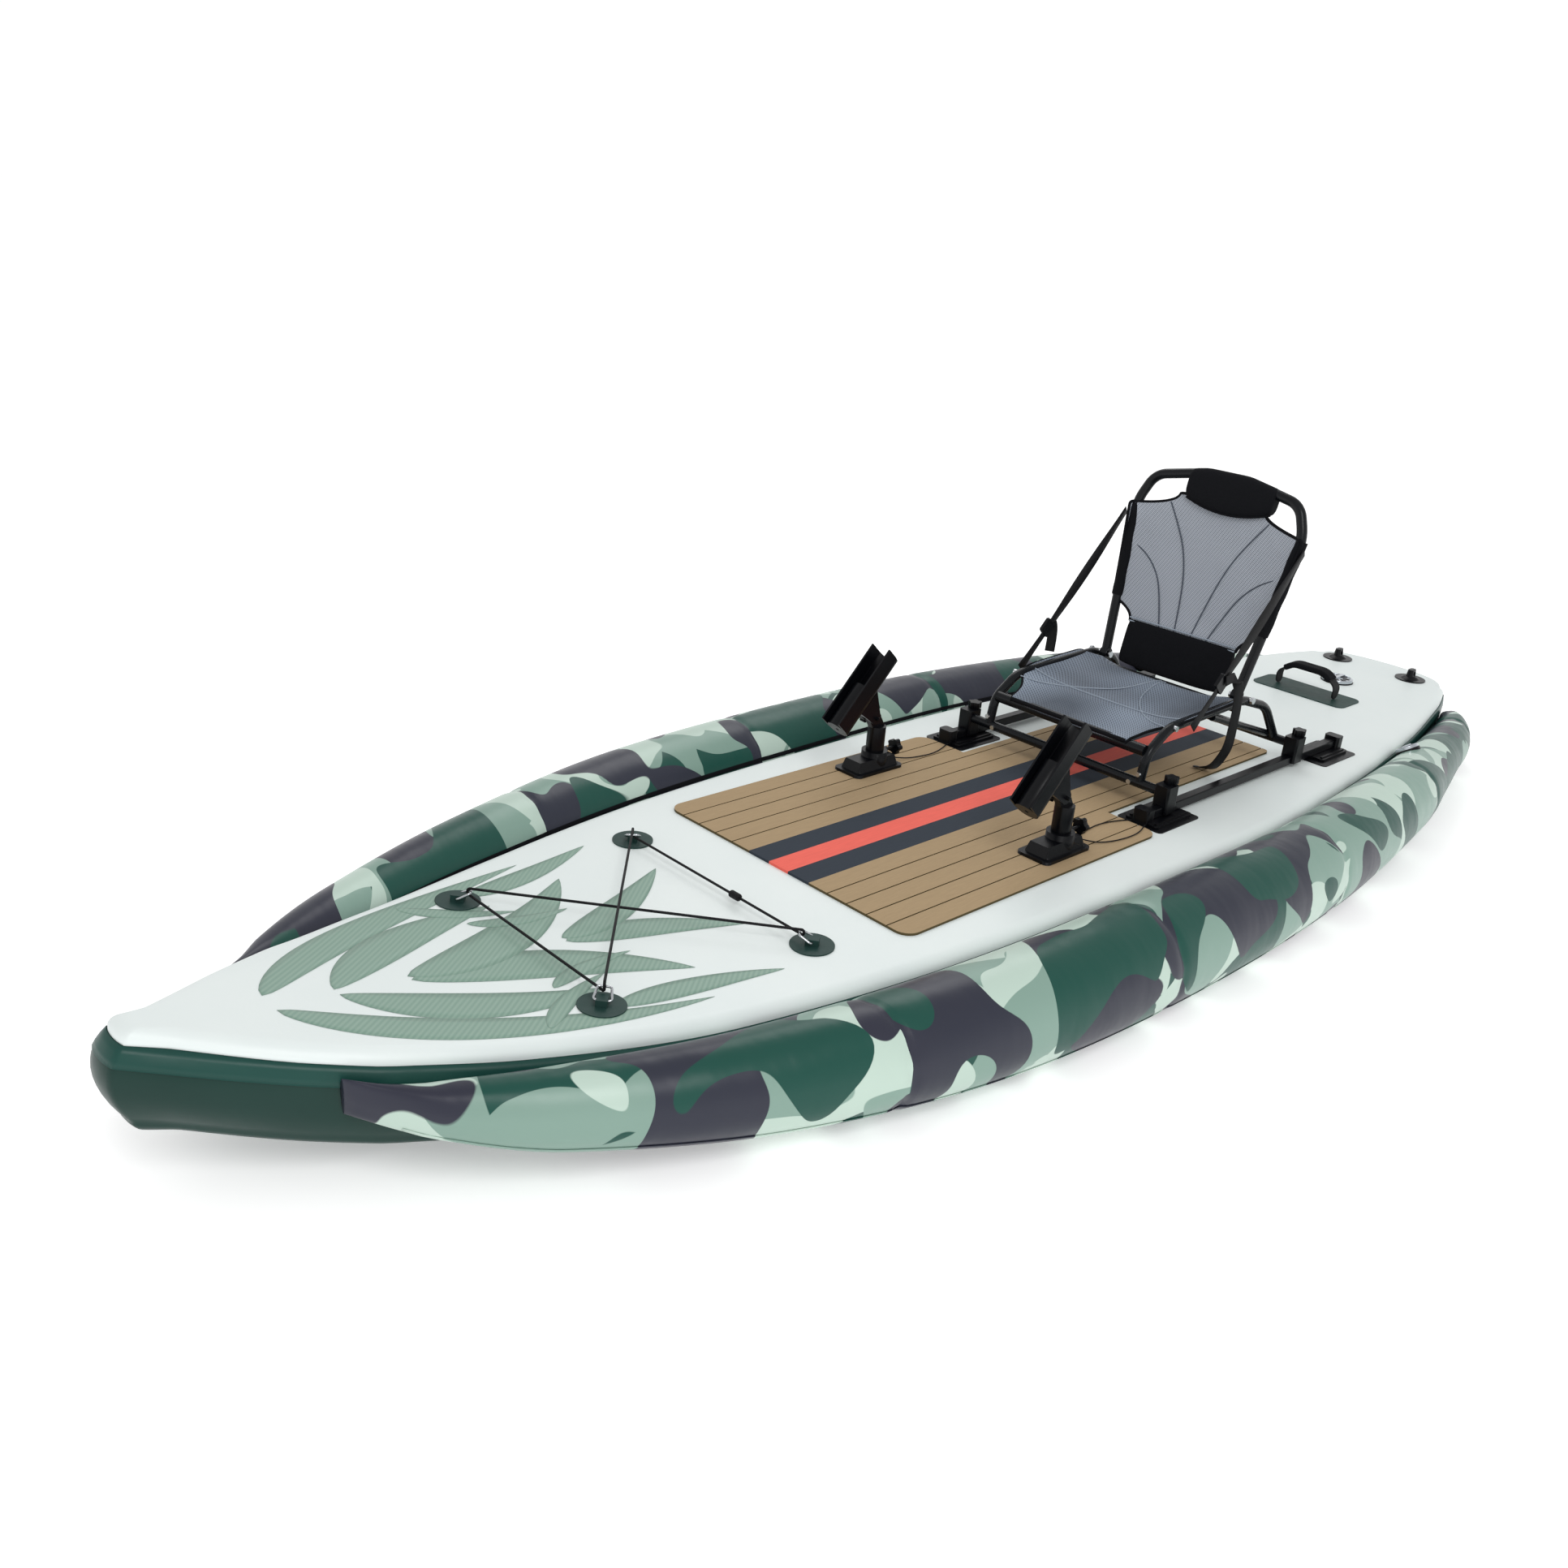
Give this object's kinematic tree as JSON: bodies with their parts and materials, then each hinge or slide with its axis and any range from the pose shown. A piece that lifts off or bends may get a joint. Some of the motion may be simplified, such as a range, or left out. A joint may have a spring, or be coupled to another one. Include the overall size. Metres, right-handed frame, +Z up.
{
  "type": "inflatable fishing kayak",
  "caption": "Inflatable board-type fishing kayak: flat drop-stitch hull with two side chambers, foam deck pad, bow bungee, rail-mounted folding chair and swivel rod holders.",
  "frame": {"origin": "middle of the hull's length and width, on the ground that its flat bottom rests on", "axes": "+X towards the bow, +Y to the left (port) side, +Z up"},
  "size_m": [3.5078, 1.232, 0.7615],
  "materials": {
    "hull_green": "satin dark green coated fabric",
    "camo": "satin printed coated fabric in green and purple-black blotches",
    "deck_white": "satin white coated fabric with a sage print",
    "web": "woven inner sheet",
    "pad_tan": "brushed foam with grooves",
    "pad_black": "brushed foam",
    "pad_red": "brushed foam",
    "black_plastic": "satin moulded",
    "grey_plastic": "matt moulded",
    "valve_metal": "bright",
    "bright_steel": "bright",
    "patch_green": "matt coated fabric",
    "frame_black": "satin dark coating over tube",
    "mesh_grey": "coarse air mesh with bound edges",
    "mesh_blue": "coarse air mesh with piping",
    "black_fabric": "woven, padded",
    "webbing": "woven webbing",
    "cord_black": "braided elastic cord"
  },
  "bodies": {
    "hull": {"hull_board": "hull_green", "deck_panel": "deck_white", "dropstitch_webs": "web", "side_chamber_left": "camo", "side_chamber_right": "camo", "valve_bodies": "black_plastic", "pad_tan": "pad_tan", "pad_black": "pad_black", "pad_red": "pad_red", "lash_patches": "patch_green", "d_rings": "bright_steel", "bungee_cord": "cord_black", "bungee_knot": "cord_black", "rail_patches": "patch_green", "rail_left": "black_plastic", "rail_right": "black_plastic", "rail_mounts": "black_plastic", "handle_patch": "patch_green", "lashing_studs": "black_plastic", "rod_base_left": "black_plastic", "rod_base_right": "black_plastic", "lanyard_left_inner": "cord_black", "lanyard_left_outer": "cord_black", "lanyard_right": "cord_black"},
    "carry_handle": {"handle_webbing": "webbing", "handle_grip": "black_plastic"},
    "stern_valve_lid": {"valve_cap_stern": "valve_metal"},
    "left_valve_lid": {"valve_cap_left": "valve_metal"},
    "right_valve_lid": {"valve_cap_right": "valve_metal"},
    "stern_valve_pin": {"valve_stem_stern": "bright_steel"},
    "left_valve_pin": {"valve_stem_left": "bright_steel"},
    "right_valve_pin": {"valve_stem_right": "bright_steel"},
    "left_post": {"rod_post_left": "black_plastic"},
    "right_post": {"rod_post_right": "black_plastic"},
    "left_holder": {"rod_holder_left": "black_plastic"},
    "right_holder": {"rod_holder_right": "black_plastic"},
    "left_tilt_knob": {"rod_tilt_knob_left": "black_plastic"},
    "right_tilt_knob": {"rod_tilt_knob_right": "black_plastic"},
    "left_base_knob": {"rod_base_knob_left": "black_plastic"},
    "right_base_knob": {"rod_base_knob_right": "black_plastic"},
    "seat": {"crossbars": "frame_black", "front_clamps": "black_plastic", "rear_clamps": "black_plastic", "side_frame_left": "frame_black", "side_frame_right": "frame_black", "seat_bars": "frame_black", "seat_sling": "mesh_blue", "frame_bolts": "bright_steel", "side_strap_left": "webbing", "side_strap_right": "webbing", "strap_buckles": "black_plastic", "strap_tails": "webbing"},
    "seat_knob_front_left": {"clamp_knob_front_left": "black_plastic"},
    "seat_knob_front_right": {"clamp_knob_front_right": "black_plastic"},
    "seat_knob_rear_left": {"clamp_knob_rear_left": "black_plastic"},
    "seat_knob_rear_right": {"clamp_knob_rear_right": "black_plastic"},
    "backrest": {"back_hoop": "frame_black", "back_mesh": "mesh_grey", "lumbar_pad": "black_fabric", "head_pad": "black_fabric"}
  },
  "joints": [
    {"name": "handle_fold", "type": "hinge", "parent": "hull", "child": "carry_handle", "pos_m": [-1.254, 0, 0.1678], "axis": [0, 1, 0], "range_deg": [-75, 75], "stiffness_Nm_per_rad": 0.4},
    {"name": "stern_lid_turn", "type": "hinge", "parent": "hull", "child": "stern_valve_lid", "pos_m": [-1.425, 0, 0.15], "axis": [0, 0, 1], "range_deg": [0, 90]},
    {"name": "stern_pin_press", "type": "slide", "parent": "hull", "child": "stern_valve_pin", "axis": [0, 0, 1], "range_m": [-0.005, 0], "stiffness_N_per_m": 500, "springref_m": 0.002},
    {"name": "left_lid_turn", "type": "hinge", "parent": "hull", "child": "left_valve_lid", "pos_m": [-1.04, 0.37442, 0.15552], "axis": [0, -0.5736, 0.8192], "range_deg": [0, 90]},
    {"name": "left_pin_press", "type": "slide", "parent": "hull", "child": "left_valve_pin", "axis": [0, -0.5736, 0.8192], "range_m": [-0.005, 0], "stiffness_N_per_m": 500, "springref_m": 0.002},
    {"name": "right_lid_turn", "type": "hinge", "parent": "hull", "child": "right_valve_lid", "pos_m": [-1.04, -0.37442, 0.15552], "axis": [0, 0.5736, 0.8192], "range_deg": [0, 90]},
    {"name": "right_pin_press", "type": "slide", "parent": "hull", "child": "right_valve_pin", "axis": [0, 0.5736, 0.8192], "range_m": [-0.005, 0], "stiffness_N_per_m": 500, "springref_m": 0.002},
    {"name": "left_post_swivel", "type": "hinge", "parent": "hull", "child": "left_post", "pos_m": [0.132, 0.24, 0.2], "axis": [0, 0, 1], "continuous": true},
    {"name": "left_holder_tilt", "type": "hinge", "parent": "left_post", "child": "left_holder", "pos_m": [0.15, 0.24, 0.268], "axis": [0, 1, 0], "range_deg": [-30, 30]},
    {"name": "left_tilt_knob_turn", "type": "hinge", "parent": "left_post", "child": "left_tilt_knob", "pos_m": [0.15, 0.24, 0.268], "axis": [0, -1, 0], "continuous": true},
    {"name": "left_base_knob_turn", "type": "hinge", "parent": "hull", "child": "left_base_knob", "pos_m": [0.075, 0.24, 0.187], "axis": [-1, 0, 0], "continuous": true},
    {"name": "right_post_swivel", "type": "hinge", "parent": "hull", "child": "right_post", "pos_m": [0.132, -0.24, 0.2], "axis": [0, 0, 1], "continuous": true},
    {"name": "right_holder_tilt", "type": "hinge", "parent": "right_post", "child": "right_holder", "pos_m": [0.15, -0.24, 0.268], "axis": [0, 1, 0], "range_deg": [-30, 30]},
    {"name": "right_tilt_knob_turn", "type": "hinge", "parent": "right_post", "child": "right_tilt_knob", "pos_m": [0.15, -0.24, 0.268], "axis": [0, -1, 0], "continuous": true},
    {"name": "right_base_knob_turn", "type": "hinge", "parent": "hull", "child": "right_base_knob", "pos_m": [0.075, -0.24, 0.187], "axis": [-1, 0, 0], "continuous": true},
    {"name": "seat_slide", "type": "slide", "parent": "hull", "child": "seat", "axis": [1, 0, 0], "range_m": [-0.15, 0.025]},
    {"name": "seat_knob_front_left_turn", "type": "hinge", "parent": "seat", "child": "seat_knob_front_left", "pos_m": [-0.205, 0.256, 0.218], "axis": [0, 0, 1], "continuous": true},
    {"name": "seat_knob_front_right_turn", "type": "hinge", "parent": "seat", "child": "seat_knob_front_right", "pos_m": [-0.205, -0.256, 0.218], "axis": [0, 0, 1], "continuous": true},
    {"name": "seat_knob_rear_left_turn", "type": "hinge", "parent": "seat", "child": "seat_knob_rear_left", "pos_m": [-0.718, 0.256, 0.218], "axis": [0, 0, 1], "continuous": true},
    {"name": "seat_knob_rear_right_turn", "type": "hinge", "parent": "seat", "child": "seat_knob_rear_right", "pos_m": [-0.718, -0.256, 0.218], "axis": [0, 0, 1], "continuous": true},
    {"name": "back_fold", "type": "hinge", "parent": "seat", "child": "backrest", "pos_m": [-0.559, 0, 0.314], "axis": [0, 1, 0], "range_deg": [0, 72]}
  ]
}
